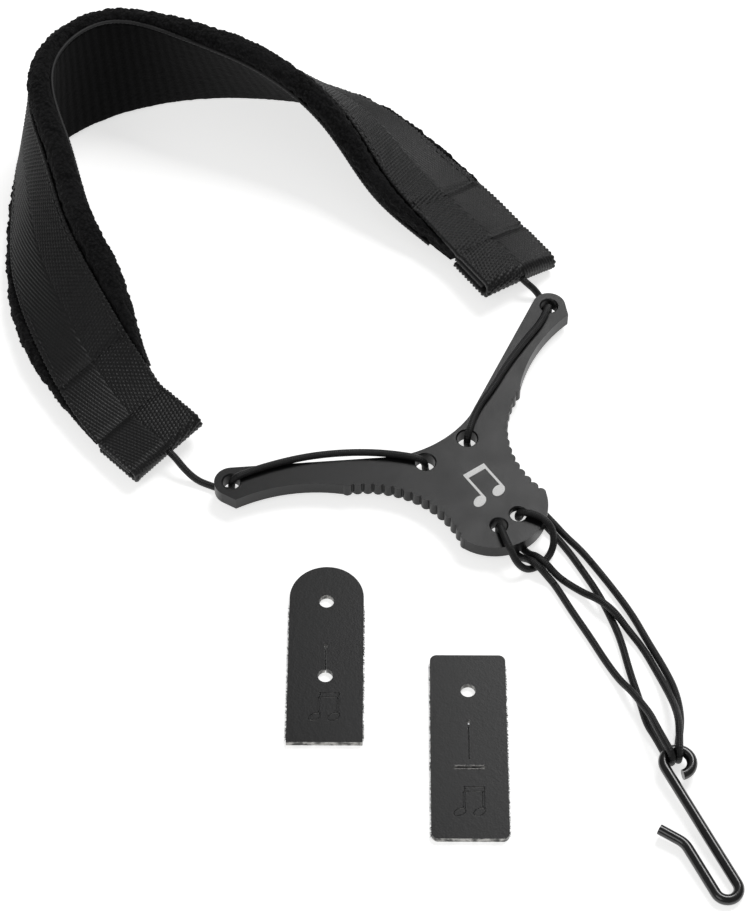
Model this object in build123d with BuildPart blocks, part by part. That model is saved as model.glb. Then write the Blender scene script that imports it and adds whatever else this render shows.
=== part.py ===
"""Neck strap for a wind instrument: a padded band, one round cord, a Y-shaped yoke and a wire hook.

Millimetres, +Z up, lying on a table as it is stored. +Y runs from the hook through the yoke to the
middle of the band, and the origin is under the middle of the whole set. Two leather tabs lie beside it.
"""
from build123d import *
import math
import os

os.makedirs("parts", exist_ok=True)

# ---------------------------------------------------------------- driving dimensions
YOKE_X, YOKE_Y = 9.8, -12.4          # the yoke's own centre in the row frame
CLEAR = 0.15                         # gap between the cord and what it lies on

CORD_D = 2.0
CORD_R = CORD_D / 2
UNDER_Z = CORD_R + 0.05              # the cord's centre where it lies on the table

PLATE_Z = 2.2                        # the plate rides on the cord that runs beneath it
PLATE_T = 4.2
PLATE_TOP = PLATE_Z + PLATE_T
POCKET_DEEP = 2.3                    # the pocket under the plate where one cord crosses another
POCKET_Z = 3.4
OVER_Z = PLATE_TOP + CORD_R + 0.1    # the cord's centre where it lies on the plate
ARM_HOLE = (54.9, 25.2)
INNER_HOLE = (7.2, 0.0)
LOWER_HOLE = (3.3, -29.0)
ARM_HOLE_R, INNER_HOLE_R, LOWER_HOLE_R = 2.4, 2.8, 2.3
BULB_R = 4.8
TEETH = 15
TOOTH_R = 1.5

BAND_LENGTH = 310.0
WEB_WIDTH, WEB_T = 25.0, 1.2
FOLD_LENGTH = 17.0                   # the folded end of the webbing, with the knot inside
FOLD_HEIGHT = 5.4
STITCH_GAP = 0.1
PAD_START = 18.5                     # where the pad begins, along the band from its end
PAD_END_T, PAD_T = 4.2, 5.6
LINING_T = 1.0
FOAM_T = 2.4
PIPING_R, SEAM_R = 0.6, 0.25

WIRE_R = 1.4
EYE_R = 3.7                          # the eye, to the middle of the wire
EYE = (-8.9, -114.2, 3.45)
SHANK = 36.2
HOOK_BEND_R = 3.1
HOOK_TURN = 8.4                      # the shank's turn from -Y, in degrees
BIGHT_R = WIRE_R + CORD_R + 0.1      # the cord's turn around the eye's wire
BIGHT_REACH, STRAND_REACH = 3.0, 3.2
BIGHTS = {"left": (-6.0, 12.0), "right": (42.0, 38.0)}   # place on the eye, and the strands' way in

TAB_WIDTH, TAB_LENGTH, TAB_T = 20.0, 55.2, 1.7
TAB_TURN = 54.7                      # the tabs' long direction from +X, in degrees
TAB_HOLE_R = 2.0


def at(x, y, z=0.0):
    """A point given from the yoke's centre, in the row frame."""
    return Vector(x + YOKE_X, y + YOKE_Y, z)


def save(part, name):
    """Label a finished piece and write its STEP."""
    part.label = name
    export_step(part, f"parts/{name}.step")


# ---------------------------------------------------------------- cord
def corner_radii(points):
    """0.45 of the shorter run, over the tangent of half the turn, at each corner of a route."""
    radii = []
    for before, here, after in zip(points, points[1:], points[2:]):
        first, second = here - before, after - here
        half_turn = math.radians(first.get_angle(second)) / 2
        radii.append(0.45 * min(first.length, second.length) / math.tan(half_turn))
    return radii


def cord_tube(points, name):
    """A plain tube of cord along straight runs joined by tangent arcs."""
    radii = corner_radii(points)
    with BuildPart() as tube:
        with BuildLine() as route:
            FilletPolyline(*points, radius=radii)
        path = route.wire()
        with BuildSketch(Plane(origin=path @ 0, z_dir=path % 0)):
            Circle(CORD_R)
        sweep(path=path)
    expected = math.pi * CORD_R**2 * path.length
    print(f"{name}: length {path.length:.1f}, radii {[round(r, 1) for r in radii]}, "
          f"volume / (section x length) {tube.part.volume / expected:.3f}")
    return tube.part


def eye_point(side, reach, level):
    """A point over (+1) or under (-1) the eye's wire, back along the strands by reach."""
    place, way_in = (math.radians(angle) for angle in BIGHTS[side])
    x = EYE[0] + EYE_R * math.sin(place) + reach * math.sin(way_in)
    y = EYE[1] + EYE_R * math.cos(place) + reach * math.cos(way_in)
    return at(x, y, wire_height(place) + level * BIGHT_R)


def wire_height(place):
    """The height of the middle of the eye's wire at a place round the eye."""
    return EYE[2] + EYE_R * math.cos(place - math.radians(HOOK_TURN)) * math.sin(hook_tilt())


def hook_tilt():
    """The hook's slope: its eye stands on the cord and its bend lies on the table."""
    return math.asin((EYE[2] - WIRE_R) / (SHANK + HOOK_BEND_R))


# Stretches of cord that stay with the yoke. Left arm: from under the arm's end, up through its hole,
# along the arm, down the inner hole and under the plate to the left pair of strands.
left_arm_route = [
    at(-58.3, 30.4, UNDER_Z), at(-54.9, 25.2, UNDER_Z), at(-54.9, 25.2, OVER_Z),
    at(-50.0, 24.6, OVER_Z), at(-42.5, 22.8, OVER_Z), at(-34.0, 19.9, OVER_Z),
    at(-26.0, 15.9, OVER_Z), at(-18.5, 11.0, OVER_Z), at(-12.2, 5.6, OVER_Z),
    at(-7.2, 0.0, OVER_Z), at(-7.2, 0.0, UNDER_Z), at(-6.4, -7.6, UNDER_Z),
    at(-4.2, -15.6, UNDER_Z), at(-1.6, -23.4, UNDER_Z), at(-0.4, -31.5, UNDER_Z),
    at(-0.2, -38.4, UNDER_Z), at(0.3, -41.2, 3.35), at(1.0, -44.6, 3.35),
    at(1.8, -47.8, 1.4), at(2.4, -51.0, UNDER_Z),
]
right_arm_route = [
    at(57.1, 31.0, UNDER_Z), at(54.9, 25.2, UNDER_Z), at(54.9, 25.2, OVER_Z),
    at(49.4, 21.2, OVER_Z), at(41.0, 18.2, OVER_Z), at(31.5, 14.2, OVER_Z),
    at(23.5, 9.9, OVER_Z), at(14.8, 6.2, OVER_Z), at(7.2, 0.0, OVER_Z),
    at(7.2, 0.0, UNDER_Z), at(8.8, -8.8, UNDER_Z), at(9.5, -18.0, UNDER_Z),
    at(9.3, -27.0, UNDER_Z), at(9.6, -35.0, UNDER_Z), at(9.5, -43.5, UNDER_Z),
    at(8.7, -51.0, UNDER_Z),
]
# Lower loop: from the left pair up the left lower hole, round under that pair, down the right
# lower hole and out under the plate's right corner, over the right arm's cord.
lower_loop_route = [
    at(-0.3, -51.0, UNDER_Z), at(-0.4, -47.8, 1.4), at(-1.2, -44.6, 3.35), at(-1.9, -41.2, 3.35),
    at(-2.5, -38.4, UNDER_Z), at(-3.1, -34.0, UNDER_Z), at(-3.3, -29.0, UNDER_Z),
    at(-3.3, -29.0, OVER_Z), at(-4.9, -33.4, 7.8), at(-6.0, -37.6, 7.6),
    at(-6.0, -40.9, 4.6), at(-4.2, -42.7, 2.0), at(-1.4, -43.2, UNDER_Z),
    at(2.2, -43.0, UNDER_Z), at(5.4, -41.9, 2.0), at(7.4, -40.1, 4.6),
    at(7.9, -37.2, 7.6), at(6.6, -33.0, 8.0), at(3.3, -29.0, OVER_Z),
    at(3.3, -29.0, POCKET_Z), at(7.0, -26.9, POCKET_Z), at(11.1, -26.2, POCKET_Z),
    at(11.5, -29.4, 1.2), at(11.8, -34.0, UNDER_Z), at(11.8, -39.5, UNDER_Z),
    at(12.4, -45.5, UNDER_Z), at(12.3, -51.0, UNDER_Z),
]
# The four strands from the yoke to the hook's eye. Two of them pass over a third.
strand_routes = {
    "left_inner": [
        at(2.5, -51.25, UNDER_Z), at(4.3, -57.4, 1.3), at(5.5, -62.4, 3.35), at(6.6, -67.6, 3.35),
        at(6.9, -73.4, 1.2), at(6.6, -80.5, UNDER_Z), at(4.9, -88.6, 1.15), at(3.0, -95.4, 2.3),
        at(0.7, -101.2, 4.2), eye_point("right", 7.0, 1), eye_point("right", STRAND_REACH, 1),
    ],
    "left_lower": [
        at(-0.3, -51.25, UNDER_Z), at(-1.7, -60.0, UNDER_Z), at(-2.8, -69.5, UNDER_Z),
        at(-4.2, -78.5, UNDER_Z), at(-4.9, -85.4, 1.5), at(-5.2, -90.2, 3.4),
        at(-5.6, -94.8, 3.8), at(-6.3, -99.3, 4.9), eye_point("left", 7.0, 1),
        eye_point("left", STRAND_REACH, 1),
    ],
    "right_lower": [
        at(12.3, -51.25, UNDER_Z), at(11.8, -60.5, UNDER_Z), at(10.9, -70.2, UNDER_Z),
        at(8.9, -79.5, UNDER_Z), at(7.3, -88.5, UNDER_Z), at(5.4, -95.6, UNDER_Z),
        at(2.2, -101.8, UNDER_Z), at(-0.9, -105.6, UNDER_Z), eye_point("right", STRAND_REACH, -1),
    ],
    "right_inner": [
        at(8.7, -51.25, UNDER_Z), at(7.7, -59.0, UNDER_Z), at(6.1, -66.0, UNDER_Z),
        at(3.6, -74.5, UNDER_Z), at(-1.0, -84.4, UNDER_Z), at(-4.2, -92.6, UNDER_Z),
        at(-7.2, -99.3, UNDER_Z), eye_point("left", 7.0, -1), eye_point("left", STRAND_REACH, -1),
    ],
}
# The two tails, from the arms' ends into the folded ends of the band.
tail_routes = {
    "left": [
        at(-58.5, 30.7, UNDER_Z), at(-60.7, 34.3, 1.3), at(-62.1, 38.4, 3.2),
        at(-62.7, 42.6, 5.2), at(-63.6, 48.2, 5.2),
    ],
    "right": [
        at(57.25, 31.45, UNDER_Z), at(57.6, 33.2, 1.5), at(56.9, 35.2, 3.2),
        at(55.5, 37.0, 5.0), at(55.4, 42.3, 5.1),
    ],
}


def bight(side):
    """One turn of the cord through the eye: over its wire, down the hole and out beneath it."""
    with BuildPart() as turn:
        with BuildLine() as route:
            over = Line(eye_point(side, BIGHT_REACH, 1), eye_point(side, 0, 1))
            arc = ThreePointArc(over @ 1, eye_point(side, -BIGHT_R, 0), eye_point(side, 0, -1))
            Line(arc @ 1, eye_point(side, BIGHT_REACH, -1))
        with BuildSketch(Plane(origin=over @ 0, z_dir=over % 0)):
            Circle(CORD_R)
        sweep(path=route.wire())
    return turn.part


save(cord_tube(left_arm_route, "left_arm_cord"), "left_arm_cord")
save(cord_tube(right_arm_route, "right_arm_cord"), "right_arm_cord")
save(cord_tube(lower_loop_route, "lower_loop_cord"), "lower_loop_cord")

with BuildPart() as hook_strands:
    for strand_name, strand_route in strand_routes.items():
        add(cord_tube(strand_route, strand_name))
save(hook_strands.part, "hook_strands")

with BuildPart() as tail_cords:
    for tail_name, tail_route in tail_routes.items():
        add(cord_tube(tail_route, f"{tail_name}_tail"))
save(tail_cords.part, "tail_cords")

with BuildPart() as eye_bights:
    for bight_side in BIGHTS:
        add(bight(bight_side))
save(eye_bights.part, "eye_bights")


# ---------------------------------------------------------------- yoke plate
def mirrored(point):
    """The same point on the other side of the yoke's middle."""
    return (-point[0], point[1])


STEP_CORNER = (30.5, 6.5)            # where the grip's teeth begin, on the arm's hook side
GRIP_MIDDLE = (16.6, -5.4)
GRIP_END = (13.8, -27.9)
FOOT = (0.0, -37.2)
BULB_CORNER = (57.4, 19.3)
ARM_BOW = (43.6, 15.4)
CROTCH = (0.0, 3.5)
CROTCH_END = (12.5, 6.0)
BULB_TANGENT = (ARM_HOLE[0] - 2.45, ARM_HOLE[1] + 4.13)
BULB_OUTER = (ARM_HOLE[0] + BULB_R * 0.8, ARM_HOLE[1] + BULB_R * 0.6)
BULB_SIDE = (ARM_HOLE[0] + BULB_R * 0.93, ARM_HOLE[1] - BULB_R * 0.36)


def plate_half(side):
    """Half of the yoke's outline, side +1 right or -1 left, from the crotch to the foot."""
    def p(point):
        return (side * point[0], point[1])

    Line(p(CROTCH_END), p(BULB_TANGENT))
    ThreePointArc(p(BULB_TANGENT), p(BULB_OUTER), p(BULB_SIDE))
    Line(p(BULB_SIDE), p(BULB_CORNER))
    ThreePointArc(p(BULB_CORNER), p(ARM_BOW), p(STEP_CORNER))
    ThreePointArc(p(STEP_CORNER), p(GRIP_MIDDLE), p(GRIP_END))


def tooth_places():
    """Centres of the grip's rounded teeth, evenly spaced along both concave grips."""
    places = []
    for side in (1, -1):
        ends = [(side * q[0], q[1]) for q in (STEP_CORNER, GRIP_MIDDLE, GRIP_END)]
        grip = ThreePointArc(*ends, mode=Mode.PRIVATE)
        for i in range(TEETH):
            along = (i + 0.5) / TEETH
            spot = grip @ along
            inward = (grip % along).rotate(Axis.Z, -90 * side)
            places.append(spot + inward * 0.75)
    return places


teeth = tooth_places()
with BuildPart() as yoke_plate:
    with BuildSketch(Plane(origin=at(0, 0, PLATE_Z))):
        with BuildLine():
            plate_half(1)
            plate_half(-1)
            ThreePointArc(mirrored(CROTCH_END), CROTCH, CROTCH_END)
            ThreePointArc(mirrored(GRIP_END), FOOT, GRIP_END)
        make_face()
        with Locations(*teeth):
            Circle(TOOTH_R)
        for hole_place, hole_r in ((ARM_HOLE, ARM_HOLE_R), (INNER_HOLE, INNER_HOLE_R),
                                   (LOWER_HOLE, LOWER_HOLE_R)):
            with Locations(hole_place, mirrored(hole_place)):
                Circle(hole_r, mode=Mode.SUBTRACT)
    extrude(amount=PLATE_T)
    # A shallow pocket in the underside, where one stretch of cord crosses over another.
    with BuildSketch(Plane(origin=at(0, 0, PLATE_Z))):
        with Locations((7.0, -27.6)):
            Rectangle(11.0, 5.2)
    extrude(amount=POCKET_DEEP, mode=Mode.SUBTRACT)
    hole_rims = yoke_plate.edges().filter_by(GeomType.CIRCLE).group_by(Axis.Z)[-1]
    hole_rims = hole_rims.filter_by(lambda rim: rim.radius > TOOTH_R + 0.1 and rim.is_closed)
    chamfer(hole_rims, 0.35)
save(yoke_plate.part, "yoke_plate")

# A generic mark: a pair of beamed notes, printed a hair proud of the plate.
NOTE_T = 0.12
with BuildPart() as yoke_emblem:
    with BuildSketch(Plane(origin=at(0.6, -15.2, PLATE_TOP))):
        for note_x in (-3.4, 3.0):
            with Locations((note_x, -4.4)):
                Ellipse(2.1, 1.5, rotation=20)
            with Locations((note_x + 1.75, 0.4)):
                Rectangle(0.7, 9.6)
        with Locations((1.6, 4.6)):
            Rectangle(7.1, 1.7)
    extrude(amount=NOTE_T)
save(yoke_emblem.part, "yoke_emblem")


# ---------------------------------------------------------------- neck band
# The band is a long strip, bent round and standing on one edge at the back. These stations give
# its lower edge and its upper edge (x, y, z), from the left end to the right.
band_stations = [
    ((-76.5, 41.4, 0.6), (-52.5, 46.9, 1.2)),
    ((-77.3, 72.0, 0.6), (-52.4, 70.7, 6.4)),
    ((-74.1, 100.8, 0.3), (-46.6, 93.0, 16.5)),
    ((-62.0, 127.0, 0.3), (-42.4, 116.4, 24.0)),
    ((-46.1, 148.8, 0.3), (-34.7, 140.5, 30.0)),
    ((-29.3, 164.0, 0.8), (-22.8, 166.0, 34.5)),
    ((-3.7, 164.5, 1.9), (-3.0, 171.5, 34.0)),
    ((19.5, 156.8, 0.8), (12.5, 152.5, 34.0)),
    ((39.8, 142.5, 0.3), (26.0, 130.0, 30.0)),
    ((57.0, 120.8, 0.3), (34.0, 108.3, 20.5)),
    ((64.5, 94.0, 0.3), (36.5, 86.3, 9.0)),
    ((66.8, 66.5, 0.5), (41.3, 64.3, 4.5)),
    ((67.5, 37.7, 0.5), (42.9, 39.0, 4.5)),
]
lower_edge = Spline(*[at(*low) for low, high in band_stations])
upper_edge = Spline(*[at(*high) for low, high in band_stations])


def band_plane(along):
    """The cross-section plane at a distance along the band: x across it, y outward."""
    share = along / BAND_LENGTH
    low, high = lower_edge @ share, upper_edge @ share
    across = (high - low).normalized()
    travel = (lower_edge % share) + (upper_edge % share)
    from_end = min(along, BAND_LENGTH - along)
    slope = min(max((from_end - PAD_START) / 20, 0), 1)      # the folded ends lie level
    travel = Vector(travel.X, travel.Y, travel.Z * slope).normalized()
    travel = (travel - across * travel.dot(across)).normalized()
    return Plane(origin=low, x_dir=across, z_dir=travel * -1), (high - low).length


def pad_height(along):
    """The pad's thickness under the webbing, rising from its two ends."""
    from_end = min(along, BAND_LENGTH - along) - PAD_START
    ease = min(max(from_end / 22.0, 0.0), 1.0)
    return PAD_END_T + (PAD_T - PAD_END_T) * ease * ease * (3 - 2 * ease)


def lofted(outline, places):
    """A solid through straight-sided sections of the band, each drawn by outline(width, height)."""
    with BuildPart() as strip:
        for along in places:
            plane, width = band_plane(along)
            with BuildSketch(plane):
                Polygon(*outline(width, pad_height(along)), align=None)
        loft(ruled=True)
    return strip.part


def thread_along(spot, radius, places):
    """A thin round strip along the band, at the place in each section given by spot(width, height)."""
    points = []
    for along in places:
        plane, width = band_plane(along)
        across, outward = spot(width, pad_height(along))
        points.append(plane.origin + plane.x_dir * across + plane.y_dir * outward)
    with BuildPart() as thread:
        with BuildLine():
            route = Spline(*points)
        with BuildSketch(Plane(origin=route @ 0, z_dir=route % 0)):
            Circle(radius)
        sweep()
    return thread.part


def webbing_outline(width, height):
    left = (width - WEB_WIDTH) / 2
    return [(left, height), (left + WEB_WIDTH, height),
            (left + WEB_WIDTH, height + WEB_T), (left, height + WEB_T)]


def lining_outline(width, height):
    return [(0, 0), (width, 0), (width, LINING_T), (0, LINING_T)]


def foam_outline(width, height):
    top = LINING_T + FOAM_T
    return [(5, LINING_T), (width - 5, LINING_T), (width - 5, top), (5, top)]


def fleece_outline(width, height):
    """The fleece wraps round the foam and swells beside the webbing and over the upper edge."""
    margin = max((width - WEB_WIDTH) / 2, 0.3)
    low, top = LINING_T + 0.05, LINING_T + FOAM_T
    return [
        (0, low), (5, low), (5, top), (width - 5, top), (width - 5, low),
        (width, low), (width + 0.1 * margin, 1.6), (width + 0.45 * margin, 3.0),
        (width + 0.3 * margin, height), (width - 0.4 * margin, height + 0.2 * margin),
        (width - margin, height), (margin, height),
        (0.4 * margin, height + 0.15 * margin), (0, height - 1.2),
    ]


def piping_spot(width, height):
    return width + PIPING_R + 0.4, PIPING_R + 0.1


def seam_spot(offset):
    """The place of a stitch row on the webbing, offset from its middle."""
    return lambda width, height: (width / 2 + offset, height + WEB_T + SEAM_R + 0.15)


def fold_frame(end):
    """The folded end's own plane: x across the band, y outward, z towards the cord's exit."""
    along = FOLD_LENGTH if end == "left" else BAND_LENGTH - FOLD_LENGTH
    plane, width = band_plane(along)
    towards = plane.z_dir if end == "left" else plane.z_dir * -1
    middle = plane.origin + plane.x_dir * (width / 2)
    return middle, plane.x_dir, plane.y_dir, towards


def fold_block(end):
    """The webbing folded back on itself: a flat loop with a pocket and a hole for the cord."""
    middle, across, outward, towards = fold_frame(end)
    side_plane = Plane(origin=middle - across * (WEB_WIDTH / 2), x_dir=towards, z_dir=across)
    flip = 1 if side_plane.y_dir.dot(outward) > 0 else -1
    with BuildPart() as fold:
        with BuildSketch(side_plane):
            with Locations((FOLD_LENGTH / 2, flip * FOLD_HEIGHT / 2)):
                Rectangle(FOLD_LENGTH, FOLD_HEIGHT)
        extrude(amount=WEB_WIDTH)
        end_face = fold.faces().sort_by(Axis(middle, towards))[-1]
        fillet(end_face.edges().filter_by(Axis((0, 0, 0), across)), 1.9)
        with BuildSketch(side_plane):
            with Locations((FOLD_LENGTH / 2 + 0.9, flip * FOLD_HEIGHT / 2)):
                Rectangle(FOLD_LENGTH - 4.4, FOLD_HEIGHT - 2 * WEB_T)
        extrude(amount=WEB_WIDTH, mode=Mode.SUBTRACT)
        hole_start = middle + outward * (FOLD_HEIGHT / 2) + towards * (FOLD_LENGTH - 3)
        with BuildSketch(Plane(origin=hole_start, z_dir=towards)):
            Circle(1.4)
        extrude(amount=4, mode=Mode.SUBTRACT)
    exit_point = middle + outward * (FOLD_HEIGHT / 2) + towards * FOLD_LENGTH
    print(f"{end} cord exit {tuple(round(v, 2) for v in exit_point)}, "
          f"outward {tuple(round(v, 3) for v in towards)}")
    return fold.part


def knot(end):
    """The stopper knot in the pocket of a folded end, pressed flat."""
    middle, across, outward, towards = fold_frame(end)
    base = middle + outward * (WEB_T + 0.1) + towards * (FOLD_LENGTH - 7.0)
    with BuildPart() as stopper:
        with BuildSketch(Plane(origin=base, z_dir=outward)):
            Circle(2.5)
        extrude(amount=FOLD_HEIGHT - 2 * WEB_T - 0.2)
        fillet(stopper.edges(), 1.2)
    return stopper.part


def stitch_bar(end):
    """A row of stitches right across the webbing on top of a folded end."""
    middle, across, outward, towards = fold_frame(end)
    base = middle + outward * (FOLD_HEIGHT + STITCH_GAP) + towards * 2.2
    with BuildPart() as bar:
        with BuildSketch(Plane(origin=base, x_dir=across, z_dir=outward)):
            Rectangle(WEB_WIDTH - 2.4, 1.0)
        extrude(amount=0.25)
    return bar.part


PAD_SECTIONS = 36
pad_length = BAND_LENGTH - 2 * PAD_START
pad_places = [PAD_START + pad_length * i / PAD_SECTIONS for i in range(PAD_SECTIONS + 1)]
webbing_places = [FOLD_LENGTH] + pad_places + [BAND_LENGTH - FOLD_LENGTH]

with BuildPart() as webbing_strap:
    add(lofted(webbing_outline, webbing_places))
    add(fold_block("left"))
    add(fold_block("right"))
save(webbing_strap.part, "webbing_strap")

save(lofted(lining_outline, pad_places), "pad_lining")
save(lofted(foam_outline, pad_places[1:-1]), "foam_core")
save(lofted(fleece_outline, pad_places), "fleece_backing")
save(thread_along(piping_spot, PIPING_R, pad_places[2:-2]), "edge_piping")

with BuildPart() as seam_stitching:
    for row_offset in (1.6 - WEB_WIDTH / 2, WEB_WIDTH / 2 - 1.6):
        add(thread_along(seam_spot(row_offset), SEAM_R, pad_places))
save(seam_stitching.part, "seam_stitching")

with BuildPart() as end_stitching:
    for band_end in ("left", "right"):
        add(stitch_bar(band_end))
save(end_stitching.part, "end_stitching")

with BuildPart() as cord_knots:
    add(knot("left"))
    add(knot("right"))
save(cord_knots.part, "cord_knots")

# ---------------------------------------------------------------- hook
hook_down = math.radians(HOOK_TURN)
shank_dir = Vector(-math.sin(hook_down), -math.cos(hook_down), -math.tan(hook_tilt())).normalized()
side_dir = Vector(math.cos(hook_down), -math.sin(hook_down), 0)
hook_plane = Plane(origin=at(*EYE), x_dir=side_dir, z_dir=side_dir.cross(shank_dir * -1))
RETURN_LEG = 13.8
TIP = 5.6
TIP_TURN = 32.0

with BuildPart() as instrument_hook:
    with BuildLine(hook_plane):
        curl = CenterArc((0, 0), EYE_R, -100, 280)
        shank = Line(curl @ 1, (-EYE_R, -SHANK))
        bend = JernArc(shank @ 1, (0, -1), HOOK_BEND_R, -180)
        leg = Line(bend @ 1, bend @ 1 + hook_plane.y_dir * RETURN_LEG)
        outward_turn = JernArc(leg @ 1, (0, 1), 6.0, TIP_TURN)
        Line(outward_turn @ 1, outward_turn @ 1 + (outward_turn % 1) * TIP)
    with BuildSketch(Plane(origin=curl @ 0, z_dir=curl % 0)):
        Circle(WIRE_R)
    sweep()
save(instrument_hook.part, "instrument_hook")


# ---------------------------------------------------------------- leather tabs
def tab_plane(x, y):
    """A tab's plane on the table, with its long direction along the plane's y."""
    turn = math.radians(TAB_TURN)
    long_dir = Vector(math.cos(turn), math.sin(turn), 0)
    return Plane(origin=at(x, y, 0), x_dir=long_dir.cross(Vector(0, 0, 1)), z_dir=(0, 0, 1))


SLIT = 0.35
with BuildPart() as leather_tab_round:
    with BuildSketch(tab_plane(-63.6, -33.4)):
        with Locations((0, -TAB_WIDTH / 4)):
            Rectangle(TAB_WIDTH, TAB_LENGTH - TAB_WIDTH / 2)
        with Locations((0, TAB_LENGTH / 2 - TAB_WIDTH / 2)):
            Circle(TAB_WIDTH / 2)
        with Locations((0, 16.4), (0, -7.2)):
            Circle(TAB_HOLE_R, mode=Mode.SUBTRACT)
        with Locations((0, 2.3)):
            Circle(0.6, mode=Mode.SUBTRACT)
        with Locations((0, -1.5)):
            Rectangle(SLIT, 8.0, mode=Mode.SUBTRACT)
    extrude(amount=TAB_T)
save(leather_tab_round.part, "leather_tab_round")

with BuildPart() as leather_tab_square:
    with BuildSketch(tab_plane(-49.2, -78.2)):
        RectangleRounded(TAB_WIDTH, TAB_LENGTH, 1.8)
        with Locations((0, 16.6)):
            Circle(TAB_HOLE_R, mode=Mode.SUBTRACT)
        with Locations((0, 7.1), (-3.6, -6.7), (3.6, -6.7)):
            Circle(0.55, mode=Mode.SUBTRACT)
        with Locations((0, 1.2)):
            Rectangle(SLIT, 10.8, mode=Mode.SUBTRACT)
        with Locations((0, -6.7)):
            Rectangle(7.2, SLIT, mode=Mode.SUBTRACT)
    extrude(amount=TAB_T)
save(leather_tab_square.part, "leather_tab_square")
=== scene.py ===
import math

import bpy
import numpy as np
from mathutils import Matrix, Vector, noise


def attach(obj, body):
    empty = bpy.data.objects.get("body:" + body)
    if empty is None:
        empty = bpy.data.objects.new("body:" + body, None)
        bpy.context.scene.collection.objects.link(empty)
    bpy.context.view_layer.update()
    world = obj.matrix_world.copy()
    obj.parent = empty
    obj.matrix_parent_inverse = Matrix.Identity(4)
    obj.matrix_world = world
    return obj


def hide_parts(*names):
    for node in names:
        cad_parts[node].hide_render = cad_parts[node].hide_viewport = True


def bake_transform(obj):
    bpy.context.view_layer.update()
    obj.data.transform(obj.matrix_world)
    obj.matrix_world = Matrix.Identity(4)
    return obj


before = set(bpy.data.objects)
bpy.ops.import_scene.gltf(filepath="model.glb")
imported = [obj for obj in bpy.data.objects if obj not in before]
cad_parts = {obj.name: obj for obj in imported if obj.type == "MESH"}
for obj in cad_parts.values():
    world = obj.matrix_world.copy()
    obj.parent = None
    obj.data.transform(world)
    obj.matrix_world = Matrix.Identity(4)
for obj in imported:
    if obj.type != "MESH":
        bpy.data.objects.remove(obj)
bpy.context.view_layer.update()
scene = bpy.context.scene
scene.view_settings.view_transform = "Standard"

MM = 0.001
YOKE_X, YOKE_Y = 9.8, -12.4          # the yoke's own centre in the row frame, mm


def at(x, y, z=0.0):
    """A point given from the yoke's centre in millimetres, in the row frame in metres."""
    return ((x + YOKE_X) * MM, (y + YOKE_Y) * MM, z * MM)


# ---------------------------------------------------------------- camera
camera = bpy.data.objects.new("camera", bpy.data.cameras.new("camera"))
scene.collection.objects.link(camera)
camera.location = at(-285.3, -372.5, 630.2)
look = Vector(at(-14.6, 13.7, 0.0)) - Vector(camera.location)
camera.rotation_euler = look.to_track_quat("-Z", "Y").to_euler()
camera.data.sensor_fit = "VERTICAL"
camera.data.sensor_height = 36.0
camera.data.lens = 110.9
camera.data.clip_start = 0.01
camera.data.clip_end = 20.0
scene.camera = camera

# ---------------------------------------------------------------- cord route
CORD_D = 2.0
UNDER_Z = 1.05
OVER_Z = 7.5
POCKET_Z = 3.4
EYE = (-8.9, -114.2, 3.45)
EYE_R = 3.7
WIRE_R = 1.4
BIGHT_R = 2.5
HOOK_TURN = 8.4
BIGHTS = {"left": (-6.0, 12.0), "right": (42.0, 38.0)}
HOOK_TILT = math.asin((EYE[2] - WIRE_R) / 39.3)


def eye_point(side, reach, level):
    """A point over (+1) or under (-1) the eye's wire, back along the strands by reach."""
    place, way_in = (math.radians(angle) for angle in BIGHTS[side])
    x = EYE[0] + EYE_R * math.sin(place) + reach * math.sin(way_in)
    y = EYE[1] + EYE_R * math.cos(place) + reach * math.cos(way_in)
    wire = EYE[2] + EYE_R * math.cos(place - math.radians(HOOK_TURN)) * math.sin(HOOK_TILT)
    return (x, y, wire + level * BIGHT_R)


left_tail = [(-63.15, 45.5, 5.2), (-62.7, 42.6, 5.2), (-62.1, 38.4, 3.2), (-60.7, 34.3, 1.3)]
left_arm = [
    (-58.3, 30.4, UNDER_Z), (-54.9, 25.2, UNDER_Z), (-54.9, 25.2, OVER_Z),
    (-50.0, 24.6, OVER_Z), (-42.5, 22.8, OVER_Z), (-34.0, 19.9, OVER_Z),
    (-26.0, 15.9, OVER_Z), (-18.5, 11.0, OVER_Z), (-12.2, 5.6, OVER_Z),
    (-7.2, 0.0, OVER_Z), (-7.2, 0.0, UNDER_Z), (-6.4, -7.6, UNDER_Z),
    (-4.2, -15.6, UNDER_Z), (-1.6, -23.4, UNDER_Z), (-0.4, -31.5, UNDER_Z),
    (-0.2, -38.4, UNDER_Z), (0.3, -41.2, 3.35), (1.0, -44.6, 3.35), (1.8, -47.8, 1.4),
]
left_inner = [
    (2.4, -51.0, UNDER_Z), (4.3, -57.4, 1.3), (5.5, -62.4, 3.35), (6.6, -67.6, 3.35),
    (6.9, -73.4, 1.2), (6.6, -80.5, UNDER_Z), (4.9, -88.6, 1.15), (3.0, -95.4, 2.3),
    (0.7, -101.2, 4.2), eye_point("right", 7.0, 1), eye_point("right", 2.5, 1),
]
right_bight = [eye_point("right", -2.5, 1), eye_point("right", -2.5, -1)]
right_lower = [
    eye_point("right", 2.5, -1), (-0.9, -105.6, UNDER_Z), (2.2, -101.8, UNDER_Z),
    (5.4, -95.6, UNDER_Z), (7.3, -88.5, UNDER_Z), (8.9, -79.5, UNDER_Z),
    (10.9, -70.2, UNDER_Z), (11.8, -60.5, UNDER_Z), (12.3, -51.0, UNDER_Z),
]
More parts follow.
